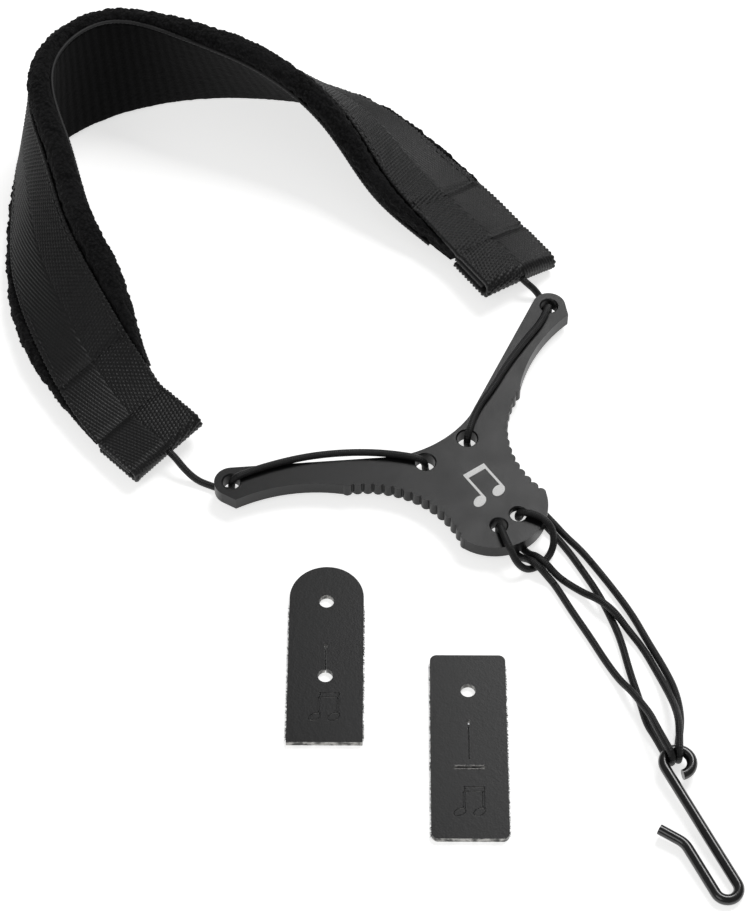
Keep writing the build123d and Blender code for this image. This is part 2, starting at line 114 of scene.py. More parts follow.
lower_loop = [
    (12.4, -45.5, UNDER_Z), (11.8, -39.5, UNDER_Z), (11.8, -34.0, UNDER_Z), (11.5, -29.4, 1.2),
    (11.1, -26.2, POCKET_Z), (7.0, -26.9, POCKET_Z), (3.3, -29.0, POCKET_Z),
    (3.3, -29.0, OVER_Z), (6.6, -33.0, 8.0), (7.9, -37.2, 7.6), (7.4, -40.1, 4.6),
    (5.4, -41.9, 2.0), (2.2, -43.0, UNDER_Z), (-1.4, -43.2, UNDER_Z), (-4.2, -42.7, 2.0),
    (-6.0, -40.9, 4.6), (-6.0, -37.6, 7.6), (-4.9, -33.4, 7.8), (-3.3, -29.0, OVER_Z),
    (-3.3, -29.0, UNDER_Z), (-3.1, -34.0, UNDER_Z), (-2.5, -38.4, UNDER_Z),
    (-1.9, -41.2, 3.35), (-1.2, -44.6, 3.35), (-0.4, -47.8, 1.4),
]
left_lower = [
    (-0.3, -51.0, UNDER_Z), (-1.7, -60.0, UNDER_Z), (-2.8, -69.5, UNDER_Z),
    (-4.2, -78.5, UNDER_Z), (-4.9, -85.4, 1.5), (-5.2, -90.2, 3.4), (-5.6, -94.8, 3.8),
    (-6.3, -99.3, 4.9), eye_point("left", 7.0, 1), eye_point("left", 2.5, 1),
]
left_bight = [eye_point("left", -2.5, 1), eye_point("left", -2.5, -1)]
right_inner = [
    eye_point("left", 2.5, -1), eye_point("left", 7.0, -1), (-7.2, -99.3, UNDER_Z),
    (-4.2, -92.6, UNDER_Z), (-1.0, -84.4, UNDER_Z), (3.6, -74.5, UNDER_Z),
    (6.1, -66.0, UNDER_Z), (7.7, -59.0, UNDER_Z), (8.7, -51.0, UNDER_Z),
]
right_arm = [
    (9.5, -43.5, UNDER_Z), (9.6, -35.0, UNDER_Z), (9.3, -27.0, UNDER_Z), (9.5, -18.0, UNDER_Z),
    (8.8, -8.8, UNDER_Z), (7.2, 0.0, UNDER_Z), (7.2, 0.0, OVER_Z), (14.8, 6.2, OVER_Z),
    (23.5, 9.9, OVER_Z), (31.5, 14.2, OVER_Z), (41.0, 18.2, OVER_Z), (49.4, 21.2, OVER_Z),
    (54.9, 25.2, OVER_Z), (54.9, 25.2, UNDER_Z), (57.1, 31.0, UNDER_Z),
]
right_tail = [(57.6, 33.2, 1.5), (56.9, 35.2, 3.2), (55.5, 37.0, 5.0), (55.4, 39.5, 5.1)]


def route_line(points):
    """Points along the smooth line of a route: a quadratic NURBS through its control points."""
    data = bpy.data.curves.new("route", "CURVE")
    data.dimensions = "3D"
    spline = data.splines.new("NURBS")
    spline.points.add(len(points) - 1)
    for target, point in zip(spline.points, points):
        target.co = (*at(*point), 1.0)
    spline.order_u = 3
    spline.use_endpoint_u = True
    spline.resolution_u = 10
    carrier = bpy.data.objects.new("route", data)
    scene.collection.objects.link(carrier)
    bpy.context.view_layer.update()
    mesh = bpy.data.meshes.new_from_object(carrier)
    line = np.array([v.co[:] for v in mesh.vertices])
    bpy.data.objects.remove(carrier)
    bpy.data.meshes.remove(mesh)
    bpy.data.curves.remove(data)
    return line


whole_route = (left_tail + left_arm + left_inner + right_bight + right_lower + lower_loop
               + left_lower + left_bight + right_inner + right_arm + right_tail)
cord_line = route_line(whole_route)


# ---------------------------------------------------------------- mesh helpers
def new_object(name, verts, faces, uvs=None, smooth=True):
    """A mesh object from arrays; uvs holds one pair for each face corner."""
    mesh = bpy.data.meshes.new(name)
    mesh.from_pydata([tuple(v) for v in verts], [], faces)
    if uvs is not None:
        layer = mesh.uv_layers.new(name="UVMap")
        layer.data.foreach_set("uv", np.asarray(uvs, dtype=np.float32).ravel())
    if smooth:
        mesh.polygons.foreach_set("use_smooth", [True] * len(mesh.polygons))
    mesh.update()
    obj = bpy.data.objects.new(name, mesh)
    scene.collection.objects.link(obj)
    return obj


def closed_tube_faces(base, rows, cols):
    """The faces of a closed tube whose first vertex is number base."""
    faces = []
    for i in range(rows - 1):
        for j in range(cols):
            k = (j + 1) % cols
            faces.append((base + i * cols + j, base + i * cols + k,
                          base + (i + 1) * cols + k, base + (i + 1) * cols + j))
    faces.append([base + j for j in range(cols)][::-1])
    faces.append([base + (rows - 1) * cols + j for j in range(cols)])
    return faces


def loop_mesh(name, grid, u_of, v_of):
    """A closed tube of rows of points. u_of has one more value than a row has points."""
    rows, cols = grid.shape[:2]
    uvs = []
    for i in range(rows - 1):
        for j in range(cols):
            uvs += [(u_of[j], v_of[i]), (u_of[j + 1], v_of[i]),
                    (u_of[j + 1], v_of[i + 1]), (u_of[j], v_of[i + 1])]
    uvs += [(u_of[j], v_of[0]) for j in reversed(range(cols))]
    uvs += [(u_of[j], v_of[-1]) for j in range(cols)]
    return new_object(name, grid.reshape(-1, 3), closed_tube_faces(0, rows, cols), uvs)


def unit(a):
    """Rows of vectors, each of length one."""
    return a / np.maximum(np.linalg.norm(a, axis=-1, keepdims=True), 1e-12)


def tube_grid(line, radius, sides):
    """Rings of points round a line, without twist."""
    tangent = unit(np.gradient(line, axis=0))
    normal = np.zeros_like(line)
    start = np.cross(tangent[0], (0.0, 0.0, 1.0))
    if np.linalg.norm(start) < 0.1:
        start = np.cross(tangent[0], (1.0, 0.0, 0.0))
    normal[0] = start / np.linalg.norm(start)
    for i in range(1, len(line)):
        moved = normal[i - 1] - tangent[i] * np.dot(normal[i - 1], tangent[i])
        normal[i] = moved / np.linalg.norm(moved)
    binormal = np.cross(tangent, normal)
    turn = np.linspace(0, 2 * math.pi, sides, endpoint=False)
    ring = (normal[:, None, :] * np.cos(turn)[None, :, None]
            + binormal[:, None, :] * np.sin(turn)[None, :, None])
    radius = np.broadcast_to(np.asarray(radius, float), (len(line),))
    return line[:, None, :] + ring * radius[:, None, None]


def lengths(line):
    """The distance along a line at each of its points."""
    steps = np.linalg.norm(np.diff(line, axis=0), axis=1)
    return np.concatenate([[0.0], np.cumsum(steps)])


def tube(name, line, diameter, sides=20):
    """A round closed tube along a line, with its length along v."""
    grid = tube_grid(line, diameter / 2, sides)
    return loop_mesh(name, grid, np.linspace(0, 1, sides + 1), lengths(line))


# ---------------------------------------------------------------- materials
def new_material(name, color, roughness, **sockets):
    """A principled material with its constants set on the shader's own sockets."""
    material = bpy.data.materials.new(name)
    material.use_nodes = True
    shader = material.node_tree.nodes["Principled BSDF"]
    shader.inputs["Base Color"].default_value = (*color, 1.0)
    shader.inputs["Roughness"].default_value = roughness
    for key, value in sockets.items():
        shader.inputs[key.replace("_", " ")].default_value = value
    return material, material.node_tree, shader


def node(tree, kind, **settings):
    """A new node, with its properties and input values set by name."""
    made = tree.nodes.new(kind)
    for key, value in settings.items():
        if hasattr(made, key):
            setattr(made, key, value)
        else:
            made.inputs[key.replace("_", " ")].default_value = value
    return made


def ramp(tree, source, low, high, low_color, high_color):
    """Source mapped through a two-stop colour ramp."""
    made = tree.nodes.new("ShaderNodeValToRGB")
    made.color_ramp.elements[0].position = low
    made.color_ramp.elements[1].position = high
    made.color_ramp.elements[0].color = (*low_color, 1.0)
    made.color_ramp.elements[1].color = (*high_color, 1.0)
    tree.links.new(source, made.inputs["Fac"])
    return made.outputs["Color"]


def math_node(tree, operation, a, b=None):
    """A math node on one or two values or sockets."""
    made = tree.nodes.new("ShaderNodeMath")
    made.operation = operation
    for slot_index, value in enumerate((a, b)):
        if value is None:
            continue
        if isinstance(value, (int, float)):
            made.inputs[slot_index].default_value = value
        else:
            tree.links.new(value, made.inputs[slot_index])
    return made.outputs[0]


def object_coords(tree):
    return tree.nodes.new("ShaderNodeTexCoord").outputs["Object"]


def texture(tree, kind, coords, **settings):
    made = node(tree, kind, **settings)
    tree.links.new(coords, made.inputs["Vector"])
    return made


def add_bump(tree, shader, height, distance, strength=1.0):
    bump = node(tree, "ShaderNodeBump", Strength=strength, Distance=distance)
    tree.links.new(height, bump.inputs["Height"])
    if shader.inputs["Normal"].links:
        tree.links.new(shader.inputs["Normal"].links[0].from_socket, bump.inputs["Normal"])
    tree.links.new(bump.outputs["Normal"], shader.inputs["Normal"])


def fleece_material():
    """Knobbly terry pile: near-black loops with a faint dusty sheen; the loop tops are painted lighter and
    the gaps between them darker, as painted shade.
    """
    mat, tree, shader = new_material("black_fleece", (0.005, 0.005, 0.005), 0.97,
                                     Sheen_Weight=0.03, Sheen_Roughness=0.6,
                                     Specular_IOR_Level=0.10)
    coords = object_coords(tree)
    loops = texture(tree, "ShaderNodeTexVoronoi", coords, Scale=1150.0)
    fine = texture(tree, "ShaderNodeTexNoise", coords, Scale=2600.0, Detail=3.0)
    broad = texture(tree, "ShaderNodeTexNoise", coords, Scale=90.0, Detail=2.0)
    # painted shade: the colour darkens with the Voronoi distance, so the gaps between loops are painted
    # darker than their tops
    tree.links.new(ramp(tree, math_node(tree, "MULTIPLY", loops.outputs["Distance"],
                                        broad.outputs["Fac"]), 0.05, 0.45,
                        (0.014, 0.014, 0.0145), (0.003, 0.003, 0.0032)),
                   shader.inputs["Base Color"])
    height = math_node(tree, "SUBTRACT", fine.outputs["Fac"], loops.outputs["Distance"])
    add_bump(tree, shader, height, 0.0004, 0.9)
    return mat


def lining_material():
    """Smooth brushed lining with faint ribs across the band, painted darker in the hollows of the ribs as
    painted shade.
    """
    mat, tree, shader = new_material("black_lining", (0.008, 0.008, 0.009), 0.95,
                                     Sheen_Weight=0.02, Sheen_Roughness=0.7,
                                     Specular_IOR_Level=0.1)
    uv = tree.nodes.new("ShaderNodeTexCoord").outputs["UV"]
    split = tree.nodes.new("ShaderNodeSeparateXYZ")
    tree.links.new(uv, split.inputs[0])
    rib = math_node(tree, "SINE", math_node(tree, "MULTIPLY", split.outputs["Y"], 2200.0))
    fine = texture(tree, "ShaderNodeTexNoise", object_coords(tree), Scale=1800.0, Detail=3.0)
    height = math_node(tree, "ADD", math_node(tree, "MULTIPLY", rib, 0.35), fine.outputs["Fac"])
    # painted shade: the colour follows the bump height, so the rib hollows and low spots are painted
    # darker
    tree.links.new(ramp(tree, height, 0.2, 1.1, (0.002, 0.002, 0.0021), (0.006, 0.006, 0.0063)),
                   shader.inputs["Base Color"])
    add_bump(tree, shader, height, 0.0003, 0.8)
    return mat


def webbing_material():
    """Woven nylon: thread by thread twist along the ridges, a soft shine on their tops."""
    mat, tree, shader = new_material("black_webbing", (0.005, 0.005, 0.0054), 0.5,
                                     Specular_IOR_Level=0.42)
    uv = tree.nodes.new("ShaderNodeTexCoord").outputs["UV"]
    threads = texture(tree, "ShaderNodeTexNoise", uv, Scale=2400.0, Detail=2.0)
    broad = texture(tree, "ShaderNodeTexNoise", object_coords(tree), Scale=60.0, Detail=3.0)
    tree.links.new(ramp(tree, broad.outputs["Fac"], 0.3, 0.7,
                        (0.0022, 0.0022, 0.0024), (0.0050, 0.0050, 0.0054)),
                   shader.inputs["Base Color"])
    tree.links.new(ramp(tree, threads.outputs["Fac"], 0.3, 0.7, (0.38,) * 3, (0.62,) * 3),
                   shader.inputs["Roughness"])
    add_bump(tree, shader, threads.outputs["Fac"], 0.00012, 0.7)
    return mat


def cord_material():
    """Fine braid over an elastic core: crossing diagonals round and along the cord, with painted shade
    darkening the grooves between them.
    """
    mat, tree, shader = new_material("black_cord", (0.005, 0.005, 0.0053), 0.45,
                                     Specular_IOR_Level=0.4)
    uv = tree.nodes.new("ShaderNodeTexCoord").outputs["UV"]
    split = tree.nodes.new("ShaderNodeSeparateXYZ")
    tree.links.new(uv, split.inputs[0])
    around = math_node(tree, "MULTIPLY", split.outputs["X"], 8 * 2 * math.pi)
    along = math_node(tree, "MULTIPLY", split.outputs["Y"], 2 * math.pi / 0.0011)
    one = math_node(tree, "SINE", math_node(tree, "ADD", around, along))
    other = math_node(tree, "SINE", math_node(tree, "SUBTRACT", around, along))
    braid = math_node(tree, "MULTIPLY", one, other)
    # painted shade: the colour follows the braid's bump height, so the grooves are painted darker than the
    # crossings
    tree.links.new(ramp(tree, braid, 0.0, 0.8, (0.003, 0.003, 0.0033), (0.009, 0.009, 0.0095)),
                   shader.inputs["Base Color"])
    add_bump(tree, shader, braid, 0.00006, 0.8)
    return mat


def plate_material():
    """Satin moulded plastic with a fine texture and faint handling marks."""
    mat, tree, shader = new_material("black_plate", (0.006, 0.006, 0.0063), 0.34,
                                     Specular_IOR_Level=0.36)
    coords = object_coords(tree)
    grain = texture(tree, "ShaderNodeTexNoise", coords, Scale=5200.0, Detail=2.0)
    marks = texture(tree, "ShaderNodeTexNoise", coords, Scale=140.0, Detail=5.0)
    tree.links.new(ramp(tree, marks.outputs["Fac"], 0.3, 0.75, (0.30,) * 3, (0.40,) * 3),
                   shader.inputs["Roughness"])
    tree.links.new(ramp(tree, marks.outputs["Fac"], 0.3, 0.7,
                        (0.0045, 0.0045, 0.0048), (0.0075, 0.0075, 0.0078)),
                   shader.inputs["Base Color"])
    add_bump(tree, shader, grain.outputs["Fac"], 0.00004, 0.6)
    return mat


def emblem_material():
    mat, tree, shader = new_material("white_print", (0.85, 0.85, 0.84), 0.5)
    speck = texture(tree, "ShaderNodeTexNoise", object_coords(tree), Scale=2500.0, Detail=2.0)
    tree.links.new(ramp(tree, speck.outputs["Fac"], 0.3, 0.6, (0.78, 0.78, 0.77), (0.88, 0.88, 0.87)),
                   shader.inputs["Base Color"])
    return mat


def hook_material():
    """Dipped plastic coat on wire: glossy, with slight waves in the coat."""
    mat, tree, shader = new_material("coated_wire", (0.004, 0.004, 0.0043), 0.22,
                                     Coat_Weight=0.5, Coat_Roughness=0.1)
    coords = object_coords(tree)
    waves = texture(tree, "ShaderNodeTexNoise", coords, Scale=420.0, Detail=2.0)
    tree.links.new(ramp(tree, waves.outputs["Fac"], 0.3, 0.7, (0.17,) * 3, (0.32,) * 3),
                   shader.inputs["Roughness"])
    add_bump(tree, shader, waves.outputs["Fac"], 0.00012, 0.5)
    return mat


TAB_TURN = math.radians(54.7)
TAB_LONG = (math.cos(TAB_TURN), math.sin(TAB_TURN))


def leather_material():
    """Black finished leather: fine grain on the faces, raw paler fibre on the lower cut end."""
    mat, tree, shader = new_material("black_leather", (0.008, 0.008, 0.0085), 0.36,
                                     Specular_IOR_Level=0.30)
    coords = object_coords(tree)
    pores = texture(tree, "ShaderNodeTexVoronoi", coords, Scale=1900.0)
    creases = texture(tree, "ShaderNodeTexNoise", coords, Scale=600.0, Detail=5.0)
    broad = texture(tree, "ShaderNodeTexNoise", coords, Scale=45.0, Detail=3.0)
    face = ramp(tree, broad.outputs["Fac"], 0.3, 0.7, (0.0050, 0.0050, 0.0053), (0.0085, 0.0085, 0.009))
    fibre = ramp(tree, creases.outputs["Fac"], 0.40, 0.60, (0.05, 0.05, 0.048), (0.50, 0.49, 0.47))
    parts = tree.nodes.new("ShaderNodeSeparateXYZ")
    tree.links.new(tree.nodes.new("ShaderNodeTexCoord").outputs["Normal"], parts.inputs[0])
    along = math_node(tree, "ADD", math_node(tree, "MULTIPLY", parts.outputs["X"], -TAB_LONG[0]),
                      math_node(tree, "MULTIPLY", parts.outputs["Y"], -TAB_LONG[1]))
    mix = tree.nodes.new("ShaderNodeMix")
    mix.data_type = "RGBA"
    tree.links.new(math_node(tree, "GREATER_THAN", along, 0.55), mix.inputs["Factor"])
    tree.links.new(face, mix.inputs[6])
    tree.links.new(fibre, mix.inputs[7])
    tree.links.new(mix.outputs[2], shader.inputs["Base Color"])
    height = math_node(tree, "ADD", math_node(tree, "MULTIPLY", pores.outputs["Distance"], 0.5),
                       creases.outputs["Fac"])
    add_bump(tree, shader, height, 0.00005, 0.4)
    return mat


fleece_mat = fleece_material()
lining_mat = lining_material()
webbing_mat = webbing_material()
cord_mat = cord_material()
plate_mat = plate_material()
emblem_mat = emblem_material()
hook_mat = hook_material()
leather_mat = leather_material()


def dress(obj, material):
    """Give a piece its one material."""
    obj.data.materials.clear()
    obj.data.materials.append(material)
    return obj


# ---------------------------------------------------------------- cord pieces
def nearest(point):
    """The index on the whole cord's line that is nearest to a point in millimetres."""
    return int(np.argmin(np.linalg.norm(cord_line - np.array(at(*point)), axis=1)))


cuts = [0, nearest(left_inner[0]), nearest(right_lower[-1]), nearest(left_lower[0]),
        nearest(right_inner[-1]), len(cord_line) - 1]


def cord_piece(index, name):
    line = cord_line[cuts[index]:cuts[index + 1] + 1]
    piece = dress(tube(name, line, CORD_D * MM), cord_mat)
    return piece, line


left_cord, left_line = cord_piece(0, "cord_left_arm")
right_ring, right_ring_line = cord_piece(1, "cord_outer_strands")
small_loop, small_loop_line = cord_piece(2, "cord_lower_loop")
left_ring, left_ring_line = cord_piece(3, "cord_inner_strands")
right_cord, right_line = cord_piece(4, "cord_right_arm")

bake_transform(left_cord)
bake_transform(right_cord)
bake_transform(right_ring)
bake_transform(left_ring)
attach(small_loop, "yoke")
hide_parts("left_arm_cord", "tail_cords")
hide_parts("right_arm_cord")
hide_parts("lower_loop_cord")
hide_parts("hook_strands")
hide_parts("eye_bights")

# ---------------------------------------------------------------- band's form
BAND_LENGTH = 310.0
WEB_WIDTH, WEB_T = 25.0, 1.2
FOLD_LENGTH = 17.0
FOLD_HEIGHT = 5.4
PAD_START = 18.5
PAD_END_T, PAD_T = 4.2, 5.6
LINING_T = 1.0
band_stations = [
    ((-76.5, 41.4, 0.6), (-52.5, 46.9, 1.2)),
    ((-77.3, 72.0, 0.6), (-52.4, 70.7, 6.4)),
    ((-74.1, 100.8, 0.3), (-46.6, 93.0, 16.5)),
    ((-62.0, 127.0, 0.3), (-42.4, 116.4, 24.0)),
    ((-46.1, 148.8, 0.3), (-34.7, 140.5, 30.0)),
    ((-29.3, 164.0, 0.8), (-22.8, 166.0, 34.5)),
    ((-3.7, 164.5, 1.9), (-3.0, 171.5, 34.0)),
    ((19.5, 156.8, 0.8), (12.5, 152.5, 34.0)),
    ((39.8, 142.5, 0.3), (26.0, 130.0, 30.0)),
    ((57.0, 120.8, 0.3), (34.0, 108.3, 20.5)),
    ((64.5, 94.0, 0.3), (36.5, 86.3, 9.0)),
    ((66.8, 66.5, 0.5), (41.3, 64.3, 4.5)),
    ((67.5, 37.7, 0.5), (42.9, 39.0, 4.5)),
]


def smooth_edge(points):
    """A cubic spline through the stations, as dense points and their share of its length."""
    points = np.array(points, float)
    knots = lengths(points)
    step = np.diff(knots)
    count = len(points)
    matrix, right = np.eye(count), np.zeros((count, 3))
    for i in range(1, count - 1):
        matrix[i, i - 1:i + 2] = step[i - 1], 2 * (step[i - 1] + step[i]), step[i]
        right[i] = 6 * ((points[i + 1] - points[i]) / step[i]
                        - (points[i] - points[i - 1]) / step[i - 1])
    bend = np.linalg.solve(matrix, right)
    t = np.linspace(0, knots[-1], 4001)
    i = np.clip(np.searchsorted(knots, t, side="right") - 1, 0, count - 2)
    h, a, b = step[i][:, None], (knots[i + 1] - t)[:, None], (t - knots[i])[:, None]
    curve = (bend[i] * a**3 / (6 * h) + bend[i + 1] * b**3 / (6 * h)
             + (points[i] / h - bend[i] * h / 6) * a + (points[i + 1] / h - bend[i + 1] * h / 6) * b)
    along = lengths(curve)
    return curve, along / along[-1]


lower_curve, lower_share = smooth_edge([low for low, high in band_stations])
upper_curve, upper_share = smooth_edge([high for low, high in band_stations])


def sample(curve, share, wanted):
    return np.stack([np.interp(wanted, share, curve[:, k]) for k in range(3)], axis=-1)


def band_frames(along):
    """Origin, across, outward and width of the band's sections at distances along it."""
    share = np.asarray(along, float) / BAND_LENGTH
    low = sample(lower_curve, lower_share, share)
    high = sample(upper_curve, upper_share, share)
    width = np.linalg.norm(high - low, axis=-1)
    across = unit(high - low)
    travel = np.zeros_like(low)
    for curve, shares in ((lower_curve, lower_share), (upper_curve, upper_share)):
        ahead = sample(curve, shares, np.clip(share + 0.004, 0, 1))
        behind = sample(curve, shares, np.clip(share - 0.004, 0, 1))
        travel += unit(ahead - behind)
    from_end = np.minimum(along, BAND_LENGTH - np.asarray(along))
    travel[:, 2] *= np.clip((from_end - PAD_START) / 20.0, 0, 1)
    travel = unit(travel)
    travel = unit(travel - across * np.sum(travel * across, axis=1, keepdims=True))
    outward = np.cross(-travel, across)
    return low, across, outward, width, travel


def pad_height(along):
    """The pad's thickness under the webbing, rising from its two ends."""
    from_end = np.minimum(along, BAND_LENGTH - along) - PAD_START
    ease = np.clip(from_end / 22.0, 0, 1)
    return PAD_END_T + (PAD_T - PAD_END_T) * ease * ease * (3 - 2 * ease)


def place(points):
    """Millimetres from the yoke's centre to metres in the row frame."""
    return (points + np.array([YOKE_X, YOKE_Y, 0.0])) * MM


def ease_between(value, low, high):
    share = np.clip((value - low) / (high - low), 0, 1)
    return share * share * (3 - 2 * share)


# ---------------------------------------------------------------- webbing
def weave(u, w):
    """The webbing's relief in mm at u across from its middle and w along.

    Below the middle long slanting ridges run nearly along the band; above it the same twill
    shows as rows of short raised grains.
    """
    ridge = (0.95 * u + 0.30 * w) / 0.92
    thread = (0.30 * u - 0.95 * w) / 1.15
    long_ridges = np.abs(np.sin(math.pi * ridge)) ** 0.8
    notches = np.abs(np.sin(math.pi * (thread + 0.5 * np.mod(np.floor(ridge), 2)))) ** 0.6
    lower = 0.36 * long_ridges * (0.72 + 0.28 * notches)
    row = (0.96 * w - 0.28 * u) / 0.98
    grain = (0.28 * w + 0.96 * u) / 1.25
    grains = np.abs(np.sin(math.pi * (grain + 0.5 * np.mod(np.floor(row), 2)))) ** 0.7
    upper = 0.42 * np.abs(np.sin(math.pi * row)) ** 0.8 * grains
    relief = np.where(u < 0, lower, upper)
    selvedge = ease_between(np.abs(u), 11.2, 11.9)
    knots = 0.46 * np.abs(np.sin(math.pi * w / 1.35)) ** 0.8
    middle = np.exp(-(u / 0.4) ** 2) * 0.16
    return relief * (1 - selvedge) + knots * selvedge - middle


CREASES = ((16.0, 0.55, 1.3), (37.0, 0.6, 1.6))   # from the end, depth and half-width, mm
WARP_STEP = 0.24                                   # between the webbing's rows of points, mm


def webbing_strip():
    """The webbing: folded under at both ends, herringbone on its outer face."""
    inner = WEB_T / 2
    arc_r = FOLD_HEIGHT / 2 - inner
    under = np.arange(0.0, FOLD_LENGTH - 3.2, 0.26)
    path = [(FOLD_LENGTH - 0.6 - x, inner, 0.0, -1.0) for x in under]
    for angle in np.linspace(0, math.pi, 32)[1:-1]:
        path.append((arc_r + inner - arc_r * math.sin(angle), FOLD_HEIGHT / 2 - arc_r * math.cos(angle),
                     -math.sin(angle), -math.cos(angle)))
    for x in np.arange(arc_r + inner, BAND_LENGTH / 2, WARP_STEP):
        path.append((x, None, 0.0, 1.0))
    path = np.array([(s, np.nan if h is None else h, ns, nh) for s, h, ns, nh in path])
    other = path[::-1].copy()
    other[:, 0] = BAND_LENGTH - other[:, 0]
    other[:, 2] *= -1
    path = np.concatenate([path, other])
    s = path[:, 0]
    on_top = np.isnan(path[:, 1])
    top_h = pad_height(s) + inner
    end_blend = ease_between(np.minimum(s, BAND_LENGTH - s), 12.0, 22.0)
    top_h = top_h * end_blend + (FOLD_HEIGHT - inner) * (1 - end_blend)
    from_end = np.minimum(s, BAND_LENGTH - s)
    for seam, deep, wide in CREASES:
        top_h = top_h - deep * np.exp(-((from_end - seam) / wide) ** 2)
    top_h = top_h + 0.35 * np.exp(-((from_end - 27.0) / 7.0) ** 2)
    h = np.where(on_top, top_h, path[:, 1])

    clamped = np.clip(s, FOLD_LENGTH, BAND_LENGTH - FOLD_LENGTH)
    low, across, outward, width, travel = band_frames(clamped)
    middle = low + across * (width / 2)[:, None] + travel * (s - clamped)[:, None]
    normal = outward * path[:, 3:4] + travel * path[:, 2:3]
    centre = middle + outward * h[:, None]
    along = lengths(centre)

    face_u = np.linspace(-WEB_WIDTH / 2, WEB_WIDTH / 2, 106)
    back_u = face_u[::15][::-1]
    arch = np.where(s > BAND_LENGTH / 2, 1.5, 0.25) * (1 - ease_between(from_end, 8.0, 30.0))
    rows = []
    wave = 0.22 * np.sin(along / 9.0) * ease_between(from_end, 30.0, 60.0)
    for i in range(len(s)):
        crown = arch[i] * (1 - (face_u / 12.5) ** 2) * (1.0 if path[i, 3] > -0.5 else 0.3)
        lift = crown + wave[i] * np.sin(face_u / 5.0)
        edge = 0.14 * math.sin(along[i] * 4.65) + 0.05 * math.sin(along[i] * 1.7)
        side = face_u + np.sign(face_u) * edge * ease_between(np.abs(face_u), 11.6, 12.5)
        rise = inner + weave(face_u, along[i]) - 0.10 - 0.35 * ease_between(np.abs(face_u), 12.1, 12.5)
        face = (centre[i] + across[i] * side[:, None] + outward[i] * lift[:, None]
                + normal[i] * rise[:, None])
        crown_back = np.interp(back_u, face_u, lift)
        back = (centre[i] + across[i] * (back_u * 0.985)[:, None] + outward[i] * crown_back[:, None]
                - normal[i] * inner)
        rows.append(np.concatenate([face, back]))
    grid = place(np.array(rows))
    u_of = np.concatenate([face_u, back_u, face_u[:1]]) * MM
    return loop_mesh("webbing", grid, u_of, along * MM)


webbing = dress(webbing_strip(), webbing_mat)
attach(webbing, "neck_band")
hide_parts("webbing_strap")


# ---------------------------------------------------------------- pad
def round_section(corners, count):
    """A smooth closed outline near the corners of a section, evenly spaced."""
    corners = np.array(corners, float)
    dense = []
    n = len(corners)
    for i in range(n):
        a, b, c = corners[i - 1], corners[i], corners[(i + 1) % n]
        first, last = (a + b) / 2, (b + c) / 2
        t = np.linspace(0, 1, 16, endpoint=False)[:, None]
        dense.append((1 - t) ** 2 * first + 2 * t * (1 - t) * b + t**2 * last)
    dense = np.concatenate(dense)
    closed = np.concatenate([dense, dense[:1]])
    along = lengths(closed)
    wanted = np.linspace(0, along[-1], count, endpoint=False)
    return np.stack([np.interp(wanted, along, closed[:, k]) for k in range(2)], axis=1)


def round_end(from_end):
    """How much of the pad's margin stands beside the webbing: its ends are rounded off."""
    share = min(max((from_end - PAD_START + 0.5) / 12.0, 0.0), 1.0)
    return math.sqrt(1 - (1 - share) ** 2)


def fleece_corners(width, height, from_end):
    end = round_end(from_end)
    knob = 1 + 0.3 * math.exp(-((from_end - 31.0) / 6.0) ** 2)
    m = max((width - WEB_WIDTH) / 2, 0.3) * (0.1 + 0.9 * end) * knob
    inset = (width - WEB_WIDTH) / 2 * 0.9 * (1 - end) + 0.8 * (1 - end)
    width = width - 2 * inset
    low = LINING_T
    return [(inset + v, h) for v, h in fleece_outline(width, height, m, low)]


def fleece_outline(width, height, m, low):
    return [
        (0.4, low), (width * 0.33, low), (width * 0.67, low), (width - 0.2, low),
        (width + 0.25 * m, low + 0.2), (width + 0.55 * m, 2.6), (width + 0.52 * m, height - 0.6),
        (width + 0.05 * m, height + 0.42 * m), (width - 0.6 * m, height + 0.38 * m),
        (width - m + 0.3, height + 0.05 * m), (width - m - 2.0, height - 0.5),
        (width / 2, height - 0.6), (m + 2.0, height - 0.5), (m - 0.3, height + 0.05 * m),
        (0.55 * m, height + 0.32 * m), (-0.02 * m, height - 0.2 + 0.1 * m),
        (-0.04 * m, low + 1.6), (0.0, low + 0.3),
    ]


def knobbly(grid, normals, size, amount, drift):
    """Push points along their normals by rounded random knobs of a given size, in mm."""
    flat, away = grid.reshape(-1, 3), normals.reshape(-1, 3)
    moved = flat.copy()
    for i, (point, n) in enumerate(zip(flat, away)):
        p = Vector(point) / size
        near = noise.voronoi(p)[0][0]
        soft = noise.noise(Vector(point) / drift)
        moved[i] = point + n * (amount * (0.75 - near * 1.25) + 0.35 * amount * soft)
    return moved.reshape(grid.shape)


def section_grid(first, last, step, outline, count):
    """Rows of section points along the band, in mm, with their distances."""
    along = np.linspace(first, last, int((last - first) / step) + 1)
    low, across, outward, width, travel = band_frames(along)
    heights = pad_height(along)
    rows = []
    for i in range(len(along)):
        from_end = min(along[i], BAND_LENGTH - along[i])
        shape = round_section(outline(width[i], heights[i], from_end), count)
        rows.append(low[i] + across[i] * shape[:, :1] + outward[i] * shape[:, 1:])
    return np.array(rows), along


def grid_normals(grid):
    along = np.gradient(grid, axis=0)
    around = np.roll(grid, -1, axis=1) - np.roll(grid, 1, axis=1)
    return unit(np.cross(around, along))


def fleece_pad():
    grid, along = section_grid(PAD_START, BAND_LENGTH - PAD_START, 0.55, fleece_corners, 170)
    normals = grid_normals(grid)
    centre = grid.mean(axis=1, keepdims=True)
    if np.sum((grid - centre) * normals) < 0:
        normals = -normals
    grid = knobbly(grid, normals, 1.55, 0.85, 7.0)
    grid[:, :, 2] = np.maximum(grid[:, :, 2], 0.05)
    cols = grid.shape[1]
    return loop_mesh("fleece_pad", place(grid), np.linspace(0, 0.09, cols + 1), along * MM)


